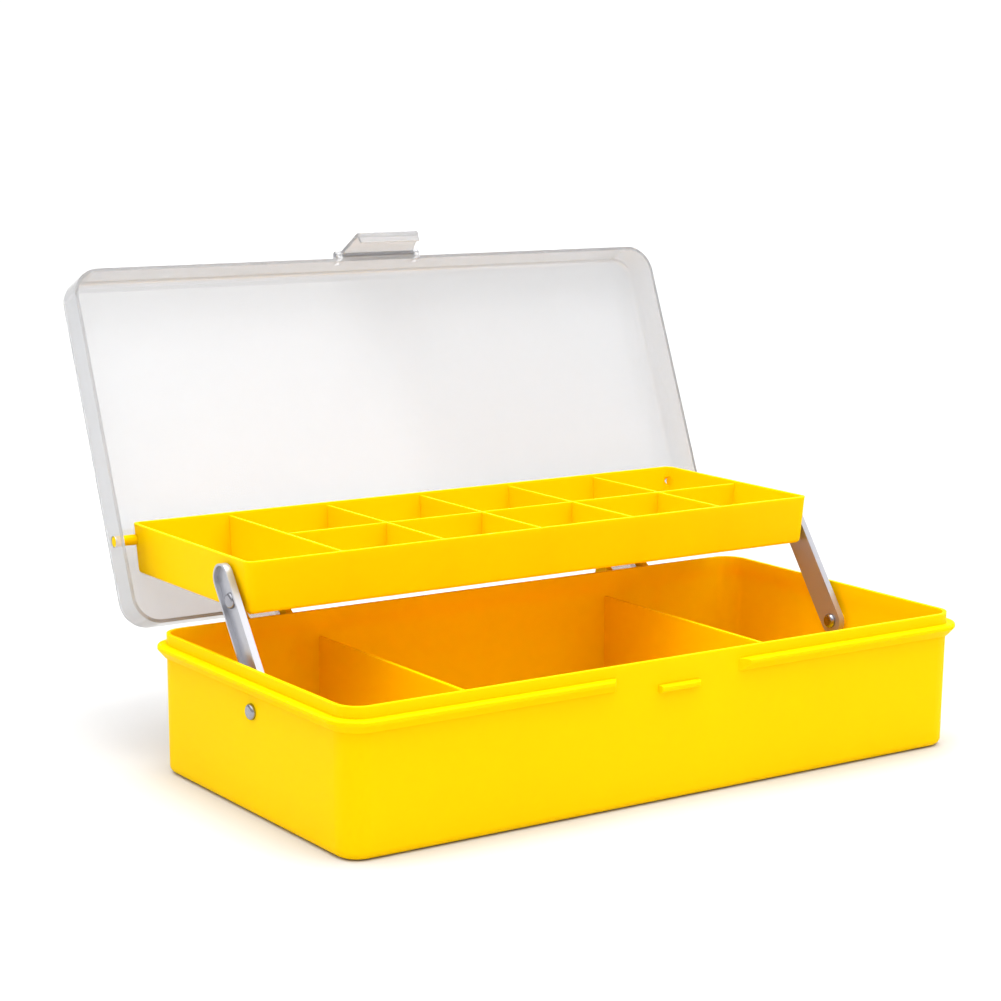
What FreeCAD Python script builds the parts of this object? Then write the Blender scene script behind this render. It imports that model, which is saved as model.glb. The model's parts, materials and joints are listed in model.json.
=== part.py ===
import FreeCAD, Part

import os
import re

import Sketcher

# Art supply box: a moulded base with two fixed dividers, a frosted hinged lid with a latch flap,
# and a compartment tray that two channel arms lift and carry back as the lid opens. Millimetres.
# X runs along the box, Y to the back, Z up, and the origin is the middle of the base's underside.
# The box stands open.

doc = FreeCAD.newDocument("ArtSupplyBox")
sheet = doc.addObject("Spreadsheet::Sheet", "Sizes")

SIZES = {
    # Base
    "rim_length": 380.0,
    "rim_depth": 188.0,
    "base_height": 73.1,
    "base_wall": 2.0,
    "base_draft": 0.95,
    "base_corner": 13.0,
    "base_foot_fillet": 4.0,
    "divider_place": 95.0,
    "divider_wall": 2.0,
    "divider_drop": 14.3,
    # Bead that carries the lid, and the catch below its gap
    "bead_drop": 5.7,
    "bead_flank": 2.9,
    "bead_tall": 6.4,
    "bead_reach": 4.8,
    "bead_round": 1.2,
    "notch_width": 77.0,
    "catch_width": 24.6,
    "catch_drop": 8.8,
    "catch_height": 3.4,
    "catch_reach": 3.4,
    "catch_fillet": 1.2,
    # Lid
    "lid_angle": 111.9,
    "lid_gap": 0.6,
    "lid_wall": 1.8,
    "lid_height": 21.6,
    "lid_draft": 0.8,
    "lid_corner": 15.4,
    "lid_edge_fillet": 4.5,
    "seat_gap": 0.3,
    # Rear hinge
    "hinge_out": 11.9,
    "hinge_drop": 3.2,
    "hinge_inset": 70.0,
    "hinge_pin_size": 3.0,
    "ear_spread": 26.0,
    "ear_thick": 4.0,
    "ear_round": 5.5,
    "ear_foot": 44.0,
    "knuckle_round": 4.6,
    "side_play": 0.4,
    "running_fit": 0.05,
    "stop_gap": 0.4,
    "nose_up": 3.0,
    # Latch
    "latch_out": 3.0,
    "latch_up": 4.2,
    "latch_width": 48.0,
    "latch_tip_width": 40.0,
    "latch_thick": 2.2,
    "latch_round": 2.3,
    "latch_pin_size": 1.6,
    "latch_ear": 3.0,
    "latch_flare": 21.0,
    "lip_gap": 0.7,
    "lip_thick": 2.2,
    "lip_reach": 3.6,
    # Lift arms
    "arm_forward": 4.5,
    "arm_drop": 12.2,
    "arm_pitch": 58.0,
    "arm_angle": 55.0,
    "arm_width": 15.2,
    "arm_end": 70.0,
    "arm_sheet": 1.2,
    "arm_channel": 3.6,
    "arm_play": 0.8,
    # Rivets
    "rivet_size": 4.0,
    "rivet_head": 8.2,
    "rivet_crown": 2.2,
    "rivet_tail": 6.0,
    "rivet_play": 0.1,
    "rivet_seat": 0.02,
    "boss_size": 9.6,
    # Tray
    "tray_side_gap": 9.8,
    "tray_height": 26.8,
    "tray_draft": 2.4,
    "tray_wall": 1.8,
    "tray_corner": 5.0,
    "tray_foot_fillet": 2.4,
    "tray_drop": 18.2108,
    "tray_behind": 3.8326,
    "tray_ahead": 12.7674,
    "tray_cell": 61.0,
    "tray_rib": 1.6,
    "tray_rib_drop": 1.5,
    "stud_size": 5.6,
    "stud_play": 0.35,
}
for row, (name, value) in enumerate(SIZES.items(), start=1):
    sheet.set(f"A{row}", name)
    sheet.set(f"B{row}", str(value))
    sheet.setAlias(f"B{row}", name)
doc.recompute()


# Places that follow from the sizes, each written in sizes or in places further down

PLACES = {
    "tray_front": "(arm_pitch * cos(arm_angle * 1deg) - arm_forward - tray_ahead)",
    "tray_depth": "(hinge_back + arm_forward + tray_behind + tray_ahead)",
    "tray_underside": "(hinge_height + arm_pitch * sin(arm_angle * 1deg) - tray_drop)",
    "tray_length": "(rim_length - 2 * tray_side_gap)",
    "arm_low": "(hinge_height - arm_drop)",
    "hinge_place": "(rim_length / 2 - hinge_inset)",
    "hinge_back": "(rim_depth / 2 + hinge_out)",
    "hinge_height": "(bead_top + seat_gap - hinge_drop)",
    "catch_middle": "(bead_top - catch_drop)",
    "divider_top": "(base_height - divider_drop)",
    "bead_low": "(bead_top - bead_tall)",
    "bead_tip": "(bead_top - bead_flank)",
    "bead_top": "(base_height - bead_drop)",
}


def sized(text):
    """Writes places out in sizes, and puts the sheet's name before every size."""
    for place, meaning in PLACES.items():
        text = re.sub(rf"\b{place}\b", meaning, text)
    return re.sub(r"[a-z]+(_[a-z]+)+", lambda word: f"Sizes.{word[0]}", text)


def worth(text):
    """The number that an expression gives now."""
    result = sheet.evalExpression(sized(text))
    return float(getattr(result, "Value", result))


# Shares of the sizes that several pieces use

HALF_LENGTH = "rim_length / 2"
HALF_DEPTH = "rim_depth / 2"
LID_HALF_LENGTH = "(rim_length / 2 + lid_gap + lid_wall)"
LID_HALF_DEPTH = "(rim_depth / 2 + lid_gap + lid_wall)"
LID_RIM = "(bead_top + seat_gap - hinge_height)"
LATCH_Y = "(-rim_depth / 2 - lid_gap - lid_wall - latch_out - hinge_back)"
LATCH_Z = "(bead_top + seat_gap + latch_up - hinge_height)"
ARM_INSIDE = "(tray_length / 2 + arm_play)"
TRAY_PIVOT_Y = "(arm_pitch * cos(arm_angle * 1deg) - arm_forward)"
TRAY_PIVOT_Z = "(arm_low + arm_pitch * sin(arm_angle * 1deg))"
STUD_Y = "(arm_pitch * cos(arm_angle * 1deg) + hinge_back)"
STUD_Z = "(hinge_height + arm_pitch * sin(arm_angle * 1deg))"


def new_body(label):
    body = doc.addObject("PartDesign::Body", label)
    body.Label = label
    return body


def plane(body, role):
    return next(f for f in body.Origin.OriginFeatures if f.Role == role)


def new_sketch(body, name, role="XY_Plane", offset="0"):
    """A sketch on one of the body's own planes, moved along its normal by an expression."""
    sketch = body.newObject("Sketcher::SketchObject", name)
    sketch.AttachmentSupport = [(plane(body, role), "")]
    sketch.MapMode = "FlatFace"
    if offset != "0":
        sketch.setExpression("AttachmentOffset.Base.z", sized(offset))
    return sketch


def hold(sketch, kind, *where):
    """Adds a dimension whose value is an expression, the last of the arguments."""
    number = sketch.addConstraint(Sketcher.Constraint(kind, *where[:-1], worth(where[-1])))
    sketch.setExpression(f"Constraints[{number}]", sized(where[-1]))


def pin_point(sketch, geometry, point, across, up):
    """Fixes a point of a sketch at two expressions from the sketch's origin."""
    for kind, axis, text in (("DistanceX", -2, across), ("DistanceY", -1, up)):
        if text == "0":
            sketch.addConstraint(Sketcher.Constraint("PointOnObject", geometry, point, axis))
        else:
            hold(sketch, kind, -1, 1, geometry, point, text)


def outline(sketch, corners):
    """A closed outline of straight lines through corners given as pairs of expressions."""
    points = [FreeCAD.Vector(worth(a), worth(b), 0) for a, b in corners]
    count = len(points)
    first = sketch.GeometryCount
    for i in range(count):
        sketch.addGeometry(Part.LineSegment(points[i], points[(i + 1) % count]))
    for i in range(count):
        sketch.addConstraint(Sketcher.Constraint("Coincident", first + i, 2, first + (i + 1) % count, 1))
    for i, (a, b) in enumerate(corners):
        pin_point(sketch, first + i, 1, a, b)


def round_hole(sketch, across, up, size):
    """A circle of a given diameter at two expressions."""
    centre = FreeCAD.Vector(worth(across), worth(up), 0)
    circle = sketch.addGeometry(Part.Circle(centre, FreeCAD.Vector(0, 0, 1), worth(size) / 2))
    pin_point(sketch, circle, 3, across, up)
    hold(sketch, "Diameter", circle, size)


def rounded_rectangle(sketch, half_x, half_y, radius, centre_y="0"):
    """A rectangle with round corners, about the origin or moved along the sketch's second axis."""
    x, y, r, c = worth(half_x), worth(half_y), worth(radius), worth(centre_y)
    turn = FreeCAD.Vector(0, 0, 1)
    quarter = 1.5707963267948966
    first = sketch.GeometryCount
    arcs = [first + i for i in range(4)]
    lines = [first + 4 + i for i in range(4)]
    corners = [(x - r, c + y - r), (-x + r, c + y - r), (-x + r, c - y + r), (x - r, c - y + r)]
    for i, (a, b) in enumerate(corners):
        circle = Part.Circle(FreeCAD.Vector(a, b, 0), turn, r)
        sketch.addGeometry(Part.ArcOfCircle(circle, i * quarter, (i + 1) * quarter))
    for i in range(4):
        start = sketch.getPoint(arcs[i], 2)
        end = sketch.getPoint(arcs[(i + 1) % 4], 1)
        sketch.addGeometry(Part.LineSegment(start, end))
    for i in range(4):
        sketch.addConstraint(Sketcher.Constraint("Tangent", arcs[i], 2, lines[i], 1))
        sketch.addConstraint(Sketcher.Constraint("Tangent", lines[i], 2, arcs[(i + 1) % 4], 1))
    for i in range(3):
        sketch.addConstraint(Sketcher.Constraint("Equal", arcs[i], arcs[i + 1]))
    for i in (0, 2):
        sketch.addConstraint(Sketcher.Constraint("Horizontal", lines[i]))
        sketch.addConstraint(Sketcher.Constraint("Vertical", lines[i + 1]))
    hold(sketch, "Radius", arcs[0], radius)
    pin_point(sketch, arcs[0], 3, f"{half_x} - ({radius})", f"{centre_y} + {half_y} - ({radius})")
    hold(sketch, "DistanceX", arcs[1], 3, arcs[0], 3, f"2 * ({half_x} - ({radius}))")
    hold(sketch, "DistanceY", arcs[3], 3, arcs[0], 3, f"2 * ({half_y} - ({radius}))")


def pad(body, name, sketch, length, midplane=True, reverse=False):
    feature = body.newObject("PartDesign::Pad", name)
    feature.Profile = sketch
    if midplane:
        feature.Midplane = True
    feature.Reversed = reverse
    feature.setExpression("Length", sized(length))
    return feature


def pocket(body, name, sketch, length, midplane=True):
    feature = body.newObject("PartDesign::Pocket", name)
    feature.Profile = sketch
    if midplane:
        feature.Midplane = True
    feature.setExpression("Length", sized(length))
    return feature


def fillet(body, name, base, size, chosen):
    """Rounds the edges of a feature that a test picks."""
    doc.recompute()
    names = [f"Edge{i}" for i, e in enumerate(base.Shape.Edges, start=1) if chosen(e)]
    feature = body.newObject("PartDesign::Fillet", name)
    feature.Base = (base, names)
    feature.setExpression("Radius", sized(size))
    return feature


def level(edge, height):
    """Whether an edge lies at one height."""
    box = edge.BoundBox
    return abs(box.ZMin - height) < 0.01 and abs(box.ZMax - height) < 0.01


def drafted_shell(body, start, half_x, half_y, corner, height, draft, edge, wall, widens, centre_y="0"):
    """A moulded tub with leaning sides and an even wall, rounded at one end and open at the other."""
    outset = sized(f"{draft} / ({height})")
    sketch = new_sketch(body, "Outline", "XY_Plane", start)
    rounded_rectangle(sketch, half_x, half_y, corner, centre_y)
    block = pad(body, "Block", sketch, height, midplane=False)
    doc.recompute()
    low = worth(start)
    high = low + worth(height)
    faces = list(enumerate(block.Shape.Faces, start=1))
    sides = [f"Face{i}" for i, f in faces if f.BoundBox.ZLength > 0.5 * worth(height)]
    floor = next(f"Face{i}" for i, f in faces if abs(f.BoundBox.ZMax - low) < 0.01)
    lean = body.newObject("PartDesign::Draft", "Lean")
    lean.Base = (block, sides)
    lean.NeutralPlane = (block, [floor])
    lean.Reversed = widens
    lean.setExpression("Angle", f"atan({outset})")
    closed, mouth = (low, high) if widens else (high, low)
    rounded = fillet(body, "EdgeRound", lean, edge, lambda e: level(e, closed))
    doc.recompute()
    open_face = [f"Face{i}" for i, f in enumerate(rounded.Shape.Faces, start=1)
                 if abs(f.BoundBox.ZMin - mouth) < 0.01 and abs(f.BoundBox.ZMax - mouth) < 0.01]
    shell = body.newObject("PartDesign::Thickness", "Shell")
    shell.Base = (rounded, open_face)
    shell.Reversed = True
    shell.setExpression("Value", sized(wall))
    return shell


# Base

def wall_half(half, height):
    """Half the base's outside length or depth at a height, as an expression."""
    return f"({half} - base_draft * (1 - ({height}) / base_height))"


def base_ring(sketch, height, spread):
    """The base's outline at a height, spread by an expression."""
    rounded_rectangle(
        sketch,
        f"({wall_half(HALF_LENGTH, height)} + {spread})",
        f"({wall_half(HALF_DEPTH, height)} + {spread})",
        f"({wall_half('base_corner', height)} + {spread})",
    )


def base_shell(body):
    """The drafted tub, with its foot edge rounded."""
    drafted_shell(body, "0", f"({HALF_LENGTH} - base_draft)", f"({HALF_DEPTH} - base_draft)",
                  "(base_corner - base_draft)", "base_height", "base_draft", "base_foot_fillet",
                  "base_wall", True)


def base_bead(body):
    """The bead below the rim that the lid sits on: flat above, sloping below, with a gap for the latch."""
    ring = new_sketch(body, "BeadOutline", "XY_Plane", "bead_low")
    base_ring(ring, "bead_top", "bead_reach")
    base_ring(ring, "bead_low", "-0.5 * base_wall")
    bead = pad(body, "Bead", ring, "bead_top - bead_low", midplane=False)
    outside = worth(wall_half(HALF_LENGTH, "bead_top")) + 0.5 * worth("bead_reach")
    outside_depth = worth(wall_half(HALF_DEPTH, "bead_top")) + 0.5 * worth("bead_reach")

    def outer(edge, height):
        box = edge.BoundBox
        reach_x = max(-box.XMin, box.XMax)
        reach_y = max(-box.YMin, box.YMax)
        return level(edge, height) and (reach_x > outside or reach_y > outside_depth)

    doc.recompute()
    low = worth("bead_low")
    names = [f"Edge{i}" for i, e in enumerate(bead.Shape.Edges, start=1) if outer(e, low)]
    slope = body.newObject("PartDesign::Chamfer", "BeadSlope")
    slope.Base = (bead, names)
    slope.ChamferType = "Two distances"
    slope.setExpression("Size", sized("bead_tip - bead_low"))
    slope.setExpression("Size2", sized("0.85 * bead_reach"))
    fillet(body, "BeadRound", slope, "bead_round", lambda e: outer(e, worth("bead_top")))
    notch = new_sketch(body, "NotchOutline", "XY_Plane", "bead_top")
    face = f"(-1 * {wall_half(HALF_DEPTH, 'bead_top')})"
    reach = f"({face} - bead_reach - 1)"
    outline(notch, [("-notch_width / 2", face), ("-notch_width / 2 - bead_reach", reach),
                    ("notch_width / 2 + bead_reach", reach), ("notch_width / 2", face)])
    pocket(body, "Notch", notch, "bead_top - bead_low", midplane=False)


def base_dividers(body):
    """Two fixed cross walls, a quarter of the length from each end."""
    half_low = f"({wall_half(HALF_DEPTH, 'base_wall')} - 0.85 * base_wall)"
    half_high = f"({wall_half(HALF_DEPTH, 'divider_top')} - 0.5 * base_wall)"
    for side, sign in (("Left", "-"), ("Right", "")):
        sketch = new_sketch(body, "Divider" + side, "YZ_Plane", sign + "divider_place")
        outline(sketch, [("-1 * " + half_low, "0.9 * base_wall"), (half_low, "0.9 * base_wall"),
                         (half_high, "divider_top"), ("-1 * " + half_high, "divider_top")])
        pad(body, "DividerWall" + side, sketch, "divider_wall")


def base_catch(body):
    """The rounded nub that the latch hooks under."""
    sketch = new_sketch(body, "CatchOutline", "XY_Plane", "catch_middle")
    face = f"(-1 * {wall_half(HALF_DEPTH, 'catch_middle')})"
    outline(sketch, [("-catch_width / 2", face + " + 0.5 * base_wall"),
                     ("-catch_width / 2", face + " - catch_reach"),
                     ("catch_width / 2", face + " - catch_reach"),
                     ("catch_width / 2", face + " + 0.5 * base_wall")])
    nub = pad(body, "Catch", sketch, "catch_height")
    front = worth(face) - worth("catch_reach")
    fillet(body, "CatchFillet", nub, "catch_fillet", lambda e: abs(e.BoundBox.YMin - front) < 0.01
           and abs(e.BoundBox.YMax - front) < 0.01)


def base_hinge(body):
    """Two pairs of hinge ears behind the rear wall, each with a nose that the open lid leans on."""
    wall = f"({wall_half(HALF_DEPTH, 'ear_foot')} - 0.5 * base_wall)"
    turn = "lid_angle * 1deg"
    edge_y = f"({LID_HALF_DEPTH} - hinge_back)"
    edge_z = f"({LID_RIM} + nose_up)"
    nose_y = f"(hinge_back + ({edge_y} + stop_gap) * cos({turn}) + {edge_z} * sin({turn}))"
    nose_z = f"(hinge_height - ({edge_y} + stop_gap) * sin({turn}) + {edge_z} * cos({turn}))"
    profile = [
        (wall, "ear_foot"),
        ("hinge_back + 0.7 * ear_round", "hinge_height - 0.7 * ear_round"),
        (nose_y + " + 1", nose_z + " - 4"),
        (nose_y, nose_z),
        ("hinge_back + 1", "hinge_height + ear_round + 3"),
        ("hinge_back - ear_round", "hinge_height + 0.7 * ear_round"),
        (f"{LID_HALF_DEPTH} + 1", "bead_top - 0.5"),
        (wall, "bead_top - 0.5"),
    ]
    for side, sign in (("Left", "-"), ("Right", "")):
        for ear, shift in (("Outer", "+"), ("Inner", "-")):
            place = f"{sign}(hinge_place {shift} ear_spread / 2)"
            sketch = new_sketch(body, "Ear" + ear + side, "YZ_Plane", place)
            outline(sketch, profile)
            pad(body, "EarPlate" + ear + side, sketch, "ear_thick")
        bore = new_sketch(body, "EarBore" + side, "YZ_Plane", f"{sign}hinge_place")
        round_hole(bore, "hinge_back", "hinge_height", "hinge_pin_size + 2 * running_fit")
        pocket(body, "EarBored" + side, bore, "ear_spread + 2 * ear_thick")


def base_bosses(body):
    """A boss on each end wall, inside the arm's channel, bored for the arm's rivet."""
    wall_out = wall_half(HALF_LENGTH, "arm_low")
    web_out = f"({ARM_INSIDE} + arm_sheet + 0.5 * arm_play)"
    inner = f"({wall_out} - 0.5 * base_wall)"
    for side, sign in (("Left", "-"), ("Right", "")):
        sketch = new_sketch(body, "Boss" + side, "YZ_Plane", f"{sign}0.5 * ({inner} + {web_out})")
        round_hole(sketch, "-arm_forward", "arm_low", "boss_size")
        pad(body, "BossPad" + side, sketch, f"{inner} - {web_out}")
        bore = new_sketch(body, "BossBore" + side, "YZ_Plane", f"{sign}{inner}")
        round_hole(bore, "-arm_forward", "arm_low", "rivet_size + 2 * running_fit")
        pocket(body, "BossBored" + side, bore, "4 * base_wall + 2 * arm_channel")


def make_base():
    body = new_body("base_box")
    base_shell(body)
    base_bead(body)
    base_dividers(body)
    base_catch(body)
    base_hinge(body)
    base_bosses(body)
    return body


# Lid, drawn shut about its hinge axis and then swung open

def lid_shell(body):
    """A shallow drafted cover with rounded upper edges and an even wall."""
    drafted_shell(body, LID_RIM, LID_HALF_LENGTH, LID_HALF_DEPTH, "lid_corner", "lid_height", "lid_draft",
                  "lid_edge_fillet", "lid_wall", False, "(-hinge_back)")


def lid_knuckles(body):
    """Two barrels on webs behind the rear wall, which turn between the base's ears."""
    wall = f"({LID_HALF_DEPTH} - hinge_back - 0.3 * lid_wall)"
    web = [(wall, f"{LID_RIM} + 0.8"), (wall, f"{LID_RIM} + 9.5"), ("1", "0.93 * knuckle_round"),
           ("-0.95 * knuckle_round", "0.2 * knuckle_round")]
    width = "ear_spread - ear_thick - 2 * side_play"
    for side, sign in (("Left", "-"), ("Right", "")):
        sketch = new_sketch(body, "Web" + side, "YZ_Plane", sign + "hinge_place")
        outline(sketch, web)
        pad(body, "WebPad" + side, sketch, width)
        barrel = new_sketch(body, "Barrel" + side, "YZ_Plane", sign + "hinge_place")
        round_hole(barrel, "0", "0", "2 * knuckle_round")
        pad(body, "BarrelPad" + side, barrel, width)
        bore = new_sketch(body, "BarrelBore" + side, "YZ_Plane", sign + "hinge_place")
        round_hole(bore, "0", "0", "hinge_pin_size + 2 * running_fit")
        pocket(body, "BarrelBored" + side, bore, "2 * ear_spread")


def lid_latch_ears(body):
    """Two ears on the front wall that hold the latch's pin."""
    wall = f"({LATCH_Y} + latch_out + 0.5 * lid_wall)"
    for side, sign in (("Left", "-"), ("Right", "")):
        place = f"{sign}(latch_width / 2 + side_play + latch_ear / 2)"
        foot = new_sketch(body, "LatchEar" + side, "YZ_Plane", place)
        outline(foot, [(wall, f"{LATCH_Z} - 1.6 * latch_round"), (wall, f"{LATCH_Z} + 1.6 * latch_round"),
                       (LATCH_Y, f"{LATCH_Z} + latch_round"), (LATCH_Y, f"{LATCH_Z} - latch_round")])
        pad(body, "LatchEarFoot" + side, foot, "latch_ear")
        eye = new_sketch(body, "LatchEye" + side, "YZ_Plane", place)
        round_hole(eye, LATCH_Y, LATCH_Z, "2 * latch_round")
        pad(body, "LatchEyePad" + side, eye, "latch_ear")
    bore = new_sketch(body, "LatchEyeBore", "YZ_Plane")
    round_hole(bore, LATCH_Y, LATCH_Z, "latch_pin_size + 2 * running_fit")
    pocket(body, "LatchEyeBored", bore, "latch_width + 4 * latch_ear")


def lid_pivot_holes(body):
    """A hole through each end wall for the tray's studs."""
    turn = "(arm_angle + lid_angle) * 1deg"
    hole = new_sketch(body, "StudHoles", "YZ_Plane")
    round_hole(hole, f"arm_pitch * cos({turn})", f"arm_pitch * sin({turn})", "stud_size + 2 * stud_play")
    pocket(body, "StudBores", hole, "rim_length + 8 * lid_wall")


def make_lid():
    body = new_body("lid")
    lid_shell(body)
    lid_knuckles(body)
    lid_latch_ears(body)
    lid_pivot_holes(body)
    swing_lid(body)
    return body


def swing_lid(body):
    """Moves a piece drawn about the hinge axis to the open lid."""
    body.Placement.Rotation = FreeCAD.Rotation(FreeCAD.Vector(-1, 0, 0), worth("lid_angle"))
    body.setExpression("Placement.Rotation.Angle", sized("lid_angle * 1deg"))
    body.setExpression("Placement.Base.y", sized("hinge_back"))
    body.setExpression("Placement.Base.z", sized("hinge_height"))


# Latch flap and its pin, drawn hanging from the flap's own axis

def swing_latch(body, turn):
    """Moves a piece drawn about the latch axis to the open lid's front edge, turned by an angle about X."""
    open_lid = "lid_angle * 1deg"
    body.Placement.Rotation = FreeCAD.Rotation(FreeCAD.Vector(-1, 0, 0), worth(turn))
    body.setExpression("Placement.Rotation.Angle", sized(f"({turn}) * 1deg"))
    body.setExpression("Placement.Base.y",
                       sized(f"hinge_back + {LATCH_Y} * cos({open_lid}) + {LATCH_Z} * sin({open_lid})"))
    body.setExpression("Placement.Base.z",
                       sized(f"hinge_height - {LATCH_Y} * sin({open_lid}) + {LATCH_Z} * cos({open_lid})"))


def make_latch():
    """A tapered flap with a barrel at its upper edge and a lip that hooks under the catch."""
    body = new_body("latch_flap")
    outside = "(-0.7 * latch_thick)"
    inside = "(0.3 * latch_thick)"
    shelf = "(catch_middle - catch_height / 2 - lip_gap - bead_top - seat_gap - latch_up)"
    foot = f"({shelf} - lip_thick)"
    plate = new_sketch(body, "FlapOutline", "XZ_Plane", f"0.5 * ({outside} + {inside}) * -1")
    outline(plate, [("-latch_width / 2", "0"), ("-latch_tip_width / 2", foot),
                    ("latch_tip_width / 2", foot), ("latch_width / 2", "0")])
    pad(body, "Flap", plate, "latch_thick")
    barrel = new_sketch(body, "FlapBarrel", "YZ_Plane")
    round_hole(barrel, "0", "0", "2 * latch_round")
    pad(body, "FlapBarrelPad", barrel, "latch_width")
    lip = new_sketch(body, "LipOutline", "YZ_Plane")
    outline(lip, [("0", foot), (f"{inside} + lip_reach", f"{foot} + 0.4 * lip_thick"),
                  (f"{inside} + lip_reach", shelf), ("0", shelf)])
    pad(body, "Lip", lip, "latch_tip_width - 1")
    bore = new_sketch(body, "FlapBore", "YZ_Plane")
    round_hole(bore, "0", "0", "latch_pin_size + 2 * running_fit")
    pocket(body, "FlapBored", bore, "2 * latch_width")
    swing_latch(body, "lid_angle + latch_flare")
    return body


def make_latch_pin():
    body = new_body("latch_pin")
    sketch = new_sketch(body, "PinRound", "YZ_Plane")
    round_hole(sketch, "0", "0", "latch_pin_size")
    pad(body, "Pin", sketch, "latch_width + 2 * side_play + 2 * latch_ear")
    swing_latch(body, "lid_angle")
    return body


def make_hinge_pin(side, sign):
    body = new_body("hinge_pin_" + side)
    sketch = new_sketch(body, "PinRound", "YZ_Plane", sign + "hinge_place")
    round_hole(sketch, "hinge_back", "hinge_height", "hinge_pin_size")
    pad(body, "Pin", sketch, "ear_spread + ear_thick")
    return body


# Lift arms: channel strips with round ends, drawn upright from the lower pivot and then leaned back

def slot_outline(sketch, half_width, low, high):
    """A strip with half-round ends, whose end centres are low and high on the second axis."""
    r, a, b = worth(half_width), worth(low), worth(high)
    turn = FreeCAD.Vector(0, 0, 1)
    half_turn = 3.141592653589793
    top_circle = Part.Circle(FreeCAD.Vector(0, b, 0), turn, r)
    low_circle = Part.Circle(FreeCAD.Vector(0, a, 0), turn, r)
    sketch.addGeometry(Part.ArcOfCircle(top_circle, 0, half_turn))
    sketch.addGeometry(Part.LineSegment(FreeCAD.Vector(-r, b, 0), FreeCAD.Vector(-r, a, 0)))
    sketch.addGeometry(Part.ArcOfCircle(low_circle, half_turn, 2 * half_turn))
    sketch.addGeometry(Part.LineSegment(FreeCAD.Vector(r, a, 0), FreeCAD.Vector(r, b, 0)))
    for i in range(4):
        sketch.addConstraint(Sketcher.Constraint("Tangent", i, 2, (i + 1) % 4, 1))
    sketch.addConstraint(Sketcher.Constraint("Equal", 0, 2))
    hold(sketch, "Radius", 0, half_width)
    pin_point(sketch, 0, 3, "0", high)
    pin_point(sketch, 2, 3, "0", low)


def make_arm(side, sign):
    """A sheet-metal channel: a web beside the tray, flanges towards the end wall, and two rivet holes."""
    body = new_body("arm_" + side)
    middle = f"{sign}({ARM_INSIDE} + arm_channel / 2)"
    strip = new_sketch(body, "ArmOutline", "YZ_Plane", middle)
    slot_outline(strip, "arm_width / 2", "0", "arm_end")
    pad(body, "Strip", strip, "arm_channel")
    gutter = new_sketch(body, "GutterOutline", "YZ_Plane",
                        f"{sign}({ARM_INSIDE} + arm_sheet + arm_channel / 2)")
    slot_outline(gutter, "arm_width / 2 - arm_sheet", "0", "arm_end")
    pocket(body, "Gutter", gutter, "arm_channel")
    holes = new_sketch(body, "RivetHoles", "YZ_Plane", f"{sign}{ARM_INSIDE}")
    round_hole(holes, "0", "0", "rivet_size + 2 * running_fit")
    round_hole(holes, "0", "arm_pitch", "rivet_size + 2 * running_fit")
    pocket(body, "RivetBores", holes, "4 * arm_sheet")
    body.Placement.Rotation = FreeCAD.Rotation(FreeCAD.Vector(-1, 0, 0), worth("90 - arm_angle"))
    body.setExpression("Placement.Rotation.Angle", sized("(90 - arm_angle) * 1deg"))
    body.setExpression("Placement.Base.y", sized("-arm_forward"))
    body.setExpression("Placement.Base.z", sized("arm_low"))
    return body


def make_rivet(label, sign, inner, outer, across, up, tail="rivet_head"):
    """A rivet along X, domed at both ends, with its grip between two expressions."""
    body = new_body(label)
    shank = new_sketch(body, "Shank", "YZ_Plane", f"{sign}0.5 * ({inner} + {outer})")
    round_hole(shank, "0", "0", "rivet_size")
    pad(body, "ShankPad", shank, f"{outer} - {inner} + rivet_crown")
    for name, face, way, size in (("Head", outer, "+", "rivet_head"), ("Tail", inner, "-", tail)):
        disc = new_sketch(body, name, "YZ_Plane", f"{sign}({face} {way} rivet_crown / 2)")
        round_hole(disc, "0", "0", size)
        last = pad(body, name + "Pad", disc, "rivet_crown")
        face_x = worth(f"{sign}({face} {way} rivet_crown)")
        fillet(body, name + "Dome", last, "0.85 * rivet_crown",
               lambda e: abs(e.BoundBox.XMin - face_x) < 0.01 and abs(e.BoundBox.XMax - face_x) < 0.01)
    body.setExpression("Placement.Base.y", sized(across))
    body.setExpression("Placement.Base.z", sized(up))
    return body


def make_base_rivet(side, sign):
    """Holds an arm's lower end to the end wall, with one head outside and one beside the tray."""
    inner = f"({ARM_INSIDE} - rivet_play)"
    outer = f"({wall_half(HALF_LENGTH, 'arm_low + rivet_head / 2')} + rivet_seat)"
    return make_rivet("base_rivet_" + side, sign, inner, outer, "-arm_forward", "arm_low")


def make_tray_rivet(side, sign):
    """Holds an arm's upper end to the tray's end wall, with its outer head in the channel."""
    foot = TRAY_PIVOT_Z + " - tray_underside - rivet_tail / 2"
    inner = f"({tray_half(TRAY_HALF_LENGTH, foot)} - tray_wall - rivet_seat)"
    outer = f"({ARM_INSIDE} + arm_sheet + rivet_play)"
    return make_rivet("tray_rivet_" + side, sign, inner, outer, TRAY_PIVOT_Y, TRAY_PIVOT_Z, "rivet_tail")


# Tray

TRAY_HALF_LENGTH = "tray_length / 2"
TRAY_HALF_DEPTH = "tray_depth / 2"
TRAY_MIDDLE = "(tray_front + tray_depth / 2)"


def tray_half(half, height):
    """Half the tray's outside length or depth at a height above its underside."""
    return f"({half} - tray_draft * (1 - ({height}) / tray_height))"


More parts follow.
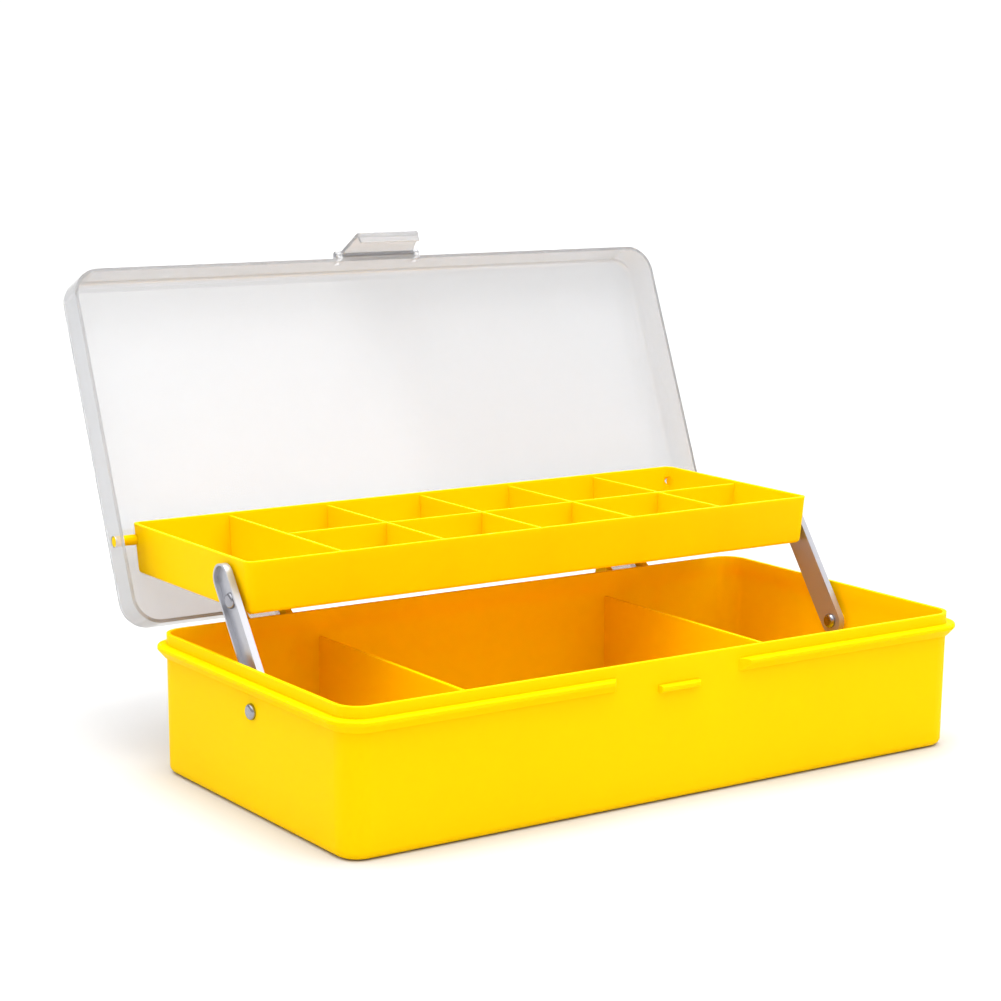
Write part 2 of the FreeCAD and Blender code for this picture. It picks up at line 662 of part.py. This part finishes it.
def tray_ribs(body):
    """Five cross ribs and one lengthwise rib, which leaves the left cell as deep as the tray."""
    top = "(tray_height - tray_rib_drop)"
    low = "0.9 * tray_wall"
    half_low = f"({tray_half(TRAY_HALF_DEPTH, 'tray_wall')} - 0.7 * tray_wall)"
    half_high = f"({tray_half(TRAY_HALF_DEPTH, top)} - 0.5 * tray_wall)"
    for i in range(5):
        sketch = new_sketch(body, f"CrossRib{i + 1}", "YZ_Plane", f"{i - 2} * tray_cell")
        outline(sketch, [("-1 * " + half_low, low), (half_low, low),
                         (half_high, top), ("-1 * " + half_high, top)])
        pad(body, f"CrossRibPad{i + 1}", sketch, "tray_rib")
    end_low = f"({tray_half(TRAY_HALF_LENGTH, 'tray_wall')} - 0.7 * tray_wall)"
    end_high = f"({tray_half(TRAY_HALF_LENGTH, top)} - 0.5 * tray_wall)"
    sketch = new_sketch(body, "LongRib", "XZ_Plane")
    outline(sketch, [("-2 * tray_cell", low), (end_low, low), (end_high, top), ("-2 * tray_cell", top)])
    pad(body, "LongRibPad", sketch, "tray_rib")


def tray_pivots(body):
    """Holes in the end walls: for the studs that hang the tray in the lid, and for the arms' rivets."""
    for side, sign in (("Left", "-"), ("Right", "")):
        end = f"{sign}{TRAY_HALF_LENGTH}"
        stud = new_sketch(body, "StudHole" + side, "YZ_Plane", end)
        round_hole(stud, f"{STUD_Y} - {TRAY_MIDDLE}", f"{STUD_Z} - tray_underside",
                   "stud_size + 2 * running_fit")
        pocket(body, "StudBore" + side, stud, "6 * tray_wall")
        hole = new_sketch(body, "RivetHole" + side, "YZ_Plane", end)
        round_hole(hole, f"{TRAY_PIVOT_Y} - {TRAY_MIDDLE}", f"{TRAY_PIVOT_Z} - tray_underside",
                   "rivet_size + 2 * running_fit")
        pocket(body, "RivetBore" + side, hole, "6 * tray_wall")


def make_stud(side, sign):
    """A round stud from the tray's end wall through the lid's wall."""
    body = new_body("tray_stud_" + side)
    inner = f"({tray_half(TRAY_HALF_LENGTH, STUD_Z + ' - tray_underside')} - tray_wall)"
    outer = f"({LID_HALF_LENGTH} - 0.4 * lid_wall)"
    sketch = new_sketch(body, "StudRound", "YZ_Plane", f"{sign}0.5 * ({inner} + {outer})")
    round_hole(sketch, "0", "0", "stud_size")
    pad(body, "Stud", sketch, f"{outer} - {inner}")
    body.setExpression("Placement.Base.y", sized(STUD_Y))
    body.setExpression("Placement.Base.z", sized(STUD_Z))
    return body


def make_tray():
    body = new_body("tray")
    drafted_shell(body, "0", f"({TRAY_HALF_LENGTH} - tray_draft)", f"({TRAY_HALF_DEPTH} - tray_draft)",
                  "(tray_corner - tray_draft)", "tray_height", "tray_draft", "tray_foot_fillet",
                  "tray_wall", True)
    tray_ribs(body)
    tray_pivots(body)
    body.setExpression("Placement.Base.y", sized(TRAY_MIDDLE))
    body.setExpression("Placement.Base.z", sized("tray_underside"))
    return body


pieces = [make_base(), make_lid(), make_latch(), make_latch_pin(), make_tray()]
for side, sign in (("left", "-"), ("right", "")):
    pieces.append(make_arm(side, sign))
    pieces.append(make_base_rivet(side, sign))
    pieces.append(make_tray_rivet(side, sign))
    pieces.append(make_stud(side, sign))
    pieces.append(make_hinge_pin(side, sign))
doc.recompute()

for item in doc.Objects:
    if any(state in ("Invalid", "Error") for state in item.State):
        raise RuntimeError(f"{item.Label} could not be made: {item.State}")
for piece in pieces:
    shape = piece.Shape
    if shape.isNull() or not shape.isValid() or len(shape.Solids) != 1:
        raise RuntimeError(f"{piece.Label} is not one sound solid")

os.makedirs("parts", exist_ok=True)
for piece in pieces:
    piece.Shape.exportStep(f"parts/{piece.Label}.step")
    print(piece.Label, round(piece.Shape.Volume), "cubic mm")
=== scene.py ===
# %% [markdown]
# # An open art supply box
# The real box is a yellow moulded base with a frosted lid. Two metal arms lift a compartment tray as the
# lid opens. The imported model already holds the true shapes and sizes, so this lesson loads it as a fixed
# frame and spends its effort on the camera, the light and the finishes.

# %% Load the frame
import json
import math

import bpy
import numpy as np
from mathutils import Matrix, Vector

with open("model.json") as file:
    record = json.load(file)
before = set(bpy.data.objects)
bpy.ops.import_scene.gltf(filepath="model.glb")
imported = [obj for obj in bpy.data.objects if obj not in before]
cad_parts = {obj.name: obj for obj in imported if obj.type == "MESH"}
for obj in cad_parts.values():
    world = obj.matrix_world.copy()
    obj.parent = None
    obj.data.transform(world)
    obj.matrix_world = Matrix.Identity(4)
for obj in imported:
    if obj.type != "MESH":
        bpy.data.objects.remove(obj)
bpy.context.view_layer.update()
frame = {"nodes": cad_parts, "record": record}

print("nodes:", sorted(frame["nodes"]))

# %% [markdown]
# ## Camera
# The photograph was taken from the front left, a little above the box, with a long lens. A camera could be
# placed by eye, but this one is measured: the place, the turn, the dip and the small roll below put the
# corners of the rim on their pixels. The camera's axes are built from those angles as three vectors.

# %% Place the camera
CAMERA_PLACE = Vector((-0.74154, -1.01210, 0.35572))
CAMERA_TURN, CAMERA_DIP, CAMERA_ROLL = (math.radians(v) for v in (34.6242, 9.904, 0.5174))
CAMERA_LENS_MM = 88.30
CAMERA_SENSOR_MM = 36
CAMERA_REACH = 100
forward = Vector((math.sin(CAMERA_TURN) * math.cos(CAMERA_DIP),
                  math.cos(CAMERA_TURN) * math.cos(CAMERA_DIP),
                  -math.sin(CAMERA_DIP)))
right = forward.cross(Vector((0, 0, 1))).normalized()
up = right.cross(forward)
rolled_right = math.cos(CAMERA_ROLL) * right + math.sin(CAMERA_ROLL) * up
rolled_up = math.cos(CAMERA_ROLL) * up - math.sin(CAMERA_ROLL) * right

camera = bpy.data.objects.new("camera", bpy.data.cameras.new("camera"))
camera.data.lens = CAMERA_LENS_MM
camera.data.sensor_width = CAMERA_SENSOR_MM
camera.data.clip_end = CAMERA_REACH
camera.matrix_world = Matrix((
    (rolled_right.x, rolled_up.x, -forward.x, CAMERA_PLACE.x),
    (rolled_right.y, rolled_up.y, -forward.y, CAMERA_PLACE.y),
    (rolled_right.z, rolled_up.z, -forward.z, CAMERA_PLACE.z),
    (0, 0, 0, 1)))
bpy.context.scene.collection.objects.link(camera)
bpy.context.scene.camera = camera
print("camera at", tuple(round(v, 3) for v in camera.location))

# %% [markdown]
# ## Floor
# The box stands on a plain white floor that runs out of sight. It could be one huge quad, but a grid of
# points worked out in one step is as easy, and the same two helpers would make any other surface. The floor
# lies a hair below the base, so the two never fight for the same place.


# %% A helper for surfaces
def grid_faces(rows, columns):
    """Quads of a grid of rows by columns points: each cell joins its four neighbours."""
    index = np.arange(rows * columns).reshape(rows, columns)
    corners = (index[:-1, :-1], index[:-1, 1:], index[1:, 1:], index[1:, :-1])
    return np.stack([c.ravel() for c in corners], axis=1)


def surface_mesh(name, points, faces):
    """A mesh from an array of points and an array of quads."""
    mesh = bpy.data.meshes.new(name)
    mesh.from_pydata(points.reshape(-1, 3).tolist(), [], faces.tolist())
    mesh.update()
    obj = bpy.data.objects.new(name, mesh)
    bpy.context.scene.collection.objects.link(obj)
    return obj


# %% Floor
FLOOR_REACH = 40
FLOOR_POINTS = 17
FLOOR_DROP = 0.0003
FLOOR_GREY = 0.63
FLOOR_ROUGHNESS = 0.9
FLOOR_MIRROR = 0.1
steps = np.linspace(-FLOOR_REACH, FLOOR_REACH, FLOOR_POINTS)
across, along = np.meshgrid(steps, steps)
floor_points = np.stack([across, along, np.full_like(across, -FLOOR_DROP)], axis=-1)
floor = surface_mesh("floor", floor_points, grid_faces(FLOOR_POINTS, FLOOR_POINTS))
floor_paint = bpy.data.materials.new("floor_paint")
floor_paint.use_nodes = True
floor_shader = floor_paint.node_tree.nodes["Principled BSDF"]
floor_shader.inputs["Base Color"].default_value = (FLOOR_GREY, FLOOR_GREY, FLOOR_GREY, 1)
floor_shader.inputs["Roughness"].default_value = FLOOR_ROUGHNESS
floor_shader.inputs["Specular IOR Level"].default_value = FLOOR_MIRROR
floor.data.materials.append(floor_paint)
print("floor", len(floor.data.vertices), "points")

# %% [markdown]
# ## Light
# A product like this is photographed in a white room with a bright ceiling, so the yellow stays even and the
# shadows stay pale. An even white world would wash out the lid. The room here is a ramp by height instead:
# white at the horizon, dimmer above it, and brightest overhead. Two softboxes add what the ramp can't: a
# skylight above the tray, and a window whose reflection slants across the lid's panel. The plain display
# transform keeps the yellow strong.

# %% White room
ROOF_GLOW = 3.2
GLOW_AT_HEIGHT = [(0.0, 0.32), (0.07, 0.32), (0.20, 0.15), (0.50, 0.20), (0.90, 1.0)]
world = bpy.data.worlds.new("white_room")
bpy.context.scene.world = world
world.use_nodes = True
room = world.node_tree
looking = room.nodes.new("ShaderNodeTexCoord")
height = room.nodes.new("ShaderNodeSeparateXYZ")
glow = room.nodes.new("ShaderNodeValToRGB")
for place, _ in GLOW_AT_HEIGHT[1:-1]:
    glow.color_ramp.elements.new(place)
for stop, (place, share) in zip(glow.color_ramp.elements, GLOW_AT_HEIGHT):
    stop.position = place
    stop.color = (share, share, share, 1)
room.links.new(looking.outputs["Generated"], height.inputs["Vector"])
room.links.new(height.outputs["Z"], glow.inputs["Fac"])
room.links.new(glow.outputs["Color"], room.nodes["Background"].inputs["Color"])
room.nodes["Background"].inputs["Strength"].default_value = ROOF_GLOW
bpy.context.scene.view_settings.view_transform = "Standard"
print("room with", len(GLOW_AT_HEIGHT), "stops")


# %% Softboxes
def softbox(name, place, target, width, height, watts):
    """A rectangular area light at a place, turned to face a target."""
    light = bpy.data.lights.new(name, "AREA")
    light.shape = "RECTANGLE"
    light.size, light.size_y = width, height
    light.energy = watts
    obj = bpy.data.objects.new(name, light)
    obj.location = place
    obj.rotation_euler = (Vector(target) - Vector(place)).to_track_quat("-Z", "Y").to_euler()
    bpy.context.scene.collection.objects.link(obj)
    return obj


softbox("skylight", place=(0.0, -0.05, 1.3), target=(0.0, 0.0, 0.05), width=0.7, height=0.4, watts=5)
softbox("window", place=(0.794, -1.258, 1.230), target=(-0.06, 0.17, 0.17), width=0.5, height=0.6, watts=1.5)

# %% [markdown]
# ## Shared effects
# Moulded plastic is never quite flat: the tool's fine texture shows as a grain, the melt leaves slow changes
# of tone, and handling leaves hair-thin rubs that change the gloss. Each of these could be painted by hand.
# Node groups are better, because the same effect then serves every finish with its own scale and strength.


# %% A helper for groups
def new_group(name, inputs, outputs):
    """A shader node group with number inputs (name, value) and number outputs (name)."""
    group = bpy.data.node_groups.new(name, "ShaderNodeTree")
    for label, value in inputs:
        socket = group.interface.new_socket(label, in_out="INPUT", socket_type="NodeSocketFloat")
        socket.default_value = value
    for label in outputs:
        group.interface.new_socket(label, in_out="OUTPUT", socket_type="NodeSocketFloat")
    return group, group.nodes.new("NodeGroupInput"), group.nodes.new("NodeGroupOutput")


def add(tree, kind, **settings):
    """A node of a kind, with its properties and its unlinked inputs set by name."""
    node = tree.nodes.new(kind)
    for key, value in settings.items():
        if hasattr(node, key):
            setattr(node, key, value)
        else:
            node.inputs[key.replace("_", " ")].default_value = value
    return node


# %% Mould grain
grain, grain_in, grain_out = new_group("mould_grain", [("Scale", 900.0), ("Depth", 1.0)], ["Height", "Tone"])
grain_place = add(grain, "ShaderNodeTexCoord")
fine = add(grain, "ShaderNodeTexNoise", Detail=3.0, Roughness=0.55)
slow = add(grain, "ShaderNodeTexNoise", Scale=14.0, Detail=2.0, Roughness=0.5)
deep = add(grain, "ShaderNodeMath", operation="MULTIPLY")
grain.links.new(grain_place.outputs["Object"], fine.inputs["Vector"])
grain.links.new(grain_place.outputs["Object"], slow.inputs["Vector"])
grain.links.new(grain_in.outputs["Scale"], fine.inputs["Scale"])
grain.links.new(fine.outputs["Fac"], deep.inputs[0])
grain.links.new(grain_in.outputs["Depth"], deep.inputs[1])
grain.links.new(deep.outputs[0], grain_out.inputs["Height"])
grain.links.new(slow.outputs["Fac"], grain_out.inputs["Tone"])
print("group", grain.name)

# %% Handling rubs
RUB_TURN = (0.35, 0.2, 0.6)
RUB_STRETCH = (1.0, 14.0, 9.0)
RUB_FROM, RUB_FULL = 0.62, 0.74
rubs, rubs_in, rubs_out = new_group("handling_rubs", [("Scale", 60.0), ("Amount", 0.5)], ["Mask"])
rubs_place = add(rubs, "ShaderNodeTexCoord")
stretch = add(rubs, "ShaderNodeMapping", Rotation=RUB_TURN, Scale=RUB_STRETCH)
hair = add(rubs, "ShaderNodeTexNoise", Detail=4.0, Roughness=0.7)
patch = add(rubs, "ShaderNodeTexNoise", Scale=22.0, Detail=1.0)
thin = add(rubs, "ShaderNodeMapRange", From_Min=RUB_FROM, From_Max=RUB_FULL)
broken = add(rubs, "ShaderNodeMath", operation="MULTIPLY")
scaled = add(rubs, "ShaderNodeMath", operation="MULTIPLY")
rubs.links.new(rubs_place.outputs["Object"], stretch.inputs["Vector"])
rubs.links.new(stretch.outputs["Vector"], hair.inputs["Vector"])
rubs.links.new(rubs_place.outputs["Object"], patch.inputs["Vector"])
rubs.links.new(rubs_in.outputs["Scale"], hair.inputs["Scale"])
rubs.links.new(hair.outputs["Fac"], thin.inputs["Value"])
rubs.links.new(thin.outputs["Result"], broken.inputs[0])
rubs.links.new(patch.outputs["Fac"], broken.inputs[1])
rubs.links.new(broken.outputs[0], scaled.inputs[0])
rubs.links.new(rubs_in.outputs["Amount"], scaled.inputs[1])
rubs.links.new(scaled.outputs[0], rubs_out.inputs["Mask"])
print("group", rubs.name)

# %% A helper for finishes
RELIEF = 0.0002
MIX_DARK, MIX_LIGHT, MIX_COLOUR = 6, 7, 2  # the colour sockets of a Mix node


def new_finish(name, dark, light, rough, rough_rubbed, grain_scale, bump, rub_scale, rub_amount):
    """A material whose colour drifts between two tones, and whose gloss and bump follow the effects."""
    material = bpy.data.materials.new(name)
    material.use_nodes = True
    tree = material.node_tree
    shader = tree.nodes["Principled BSDF"]
    texture = add(tree, "ShaderNodeGroup", node_tree=grain)
    texture.inputs["Scale"].default_value = grain_scale
    rubbing = add(tree, "ShaderNodeGroup", node_tree=rubs)
    rubbing.inputs["Scale"].default_value = rub_scale
    rubbing.inputs["Amount"].default_value = rub_amount
    tone = add(tree, "ShaderNodeMix", data_type="RGBA")
    tone.inputs[MIX_DARK].default_value = (*dark, 1)
    tone.inputs[MIX_LIGHT].default_value = (*light, 1)
    gloss = add(tree, "ShaderNodeMapRange", To_Min=rough, To_Max=rough_rubbed)
    relief = add(tree, "ShaderNodeBump", Strength=bump, Distance=RELIEF)
    tree.links.new(texture.outputs["Tone"], tone.inputs["Factor"])
    tree.links.new(tone.outputs[MIX_COLOUR], shader.inputs["Base Color"])
    tree.links.new(rubbing.outputs["Mask"], gloss.inputs["Value"])
    tree.links.new(gloss.outputs["Result"], shader.inputs["Roughness"])
    tree.links.new(texture.outputs["Height"], relief.inputs["Height"])
    tree.links.new(relief.outputs["Normal"], shader.inputs["Normal"])
    return material, shader


# %% [markdown]
# ## Yellow plastic
# The base and the tray are polypropylene, coloured right through. Its gloss is low and its yellow is deep, so
# the mirror part of the shader is turned down and the colour does the work. Thin walls of it also let some
# light wander inside, which paint would not show, so a part of the shader scatters below the skin.

# %% Yellow plastic
yellow, yellow_shader = new_finish(
    "yellow_plastic", dark=(0.95, 0.575, 0.0), light=(0.97, 0.602, 0.0), rough=0.42, rough_rubbed=0.6,
    grain_scale=1400.0, bump=0.12, rub_scale=55.0, rub_amount=0.5)
yellow_shader.inputs["Specular IOR Level"].default_value = 0.02
yellow_shader.inputs["Subsurface Weight"].default_value = 0.4
yellow_shader.inputs["Subsurface Radius"].default_value = (1.0, 0.8, 0.05)
yellow_shader.inputs["Subsurface Scale"].default_value = 0.006
print("finish", yellow.name)

# %% [markdown]
# ## Frosted plastic
# The lid is clear plastic with a frosted skin: light comes through it, but shapes are softened. It could be a
# plain see-through grey, but that has no depth. A transmitting shader with a rough surface scatters what
# passes, and the slow change of tone is the milkiness of the moulding.

# %% Frosted plastic
frosted, frosted_shader = new_finish(
    "frosted_plastic", dark=(0.735, 0.742, 0.757), light=(0.760, 0.767, 0.782), rough=0.10, rough_rubbed=0.22,
    grain_scale=1100.0, bump=0.02, rub_scale=40.0, rub_amount=0.5)
frosted_shader.inputs["Transmission Weight"].default_value = 0.75
frosted_shader.inputs["IOR"].default_value = 1.46
print("finish", frosted.name)

# %% [markdown]
# ## Metal
# The arms are pressed from dull plated sheet, and the rivets and pins are bright wire. Bright metal shows its
# colour in what it reflects, so the rivets are full metal. The dull plating scatters more, so the arms are
# only part metal.

# %% Metals
arm_metal, arm_shader = new_finish(
    "arm_metal", dark=(0.41, 0.415, 0.45), light=(0.49, 0.495, 0.53), rough=0.36, rough_rubbed=0.52,
    grain_scale=700.0, bump=0.08, rub_scale=120.0, rub_amount=0.8)
arm_shader.inputs["Metallic"].default_value = 0.7
rivet_metal, rivet_shader = new_finish(
    "rivet_metal", dark=(0.26, 0.26, 0.29), light=(0.36, 0.36, 0.39), rough=0.25, rough_rubbed=0.45,
    grain_scale=900.0, bump=0.06, rub_scale=200.0, rub_amount=0.8)
rivet_shader.inputs["Metallic"].default_value = 1.0
print("finishes", arm_metal.name, rivet_metal.name)

# %% [markdown]
# ## Dressing the nodes
# Each piece could be given its finish by hand. The record already says which material each node is made of,
# so every node keeps its own shape and takes the finish of its material slot, and a change of the record's
# slots would carry through here.

# %% Finishes on the nodes
FINISH_OF_SLOT = {
    "yellow_plastic": yellow,
    "frosted_plastic": frosted,
    "arm_metal": arm_metal,
    "rivet_metal": rivet_metal,
}
for part in frame["record"]["subparts"]:
    node = frame["nodes"][part["node"]]
    if not node.material_slots:
        node.data.materials.append(None)
    for place in node.material_slots:
        place.material = FINISH_OF_SLOT[part["material_slot"]]
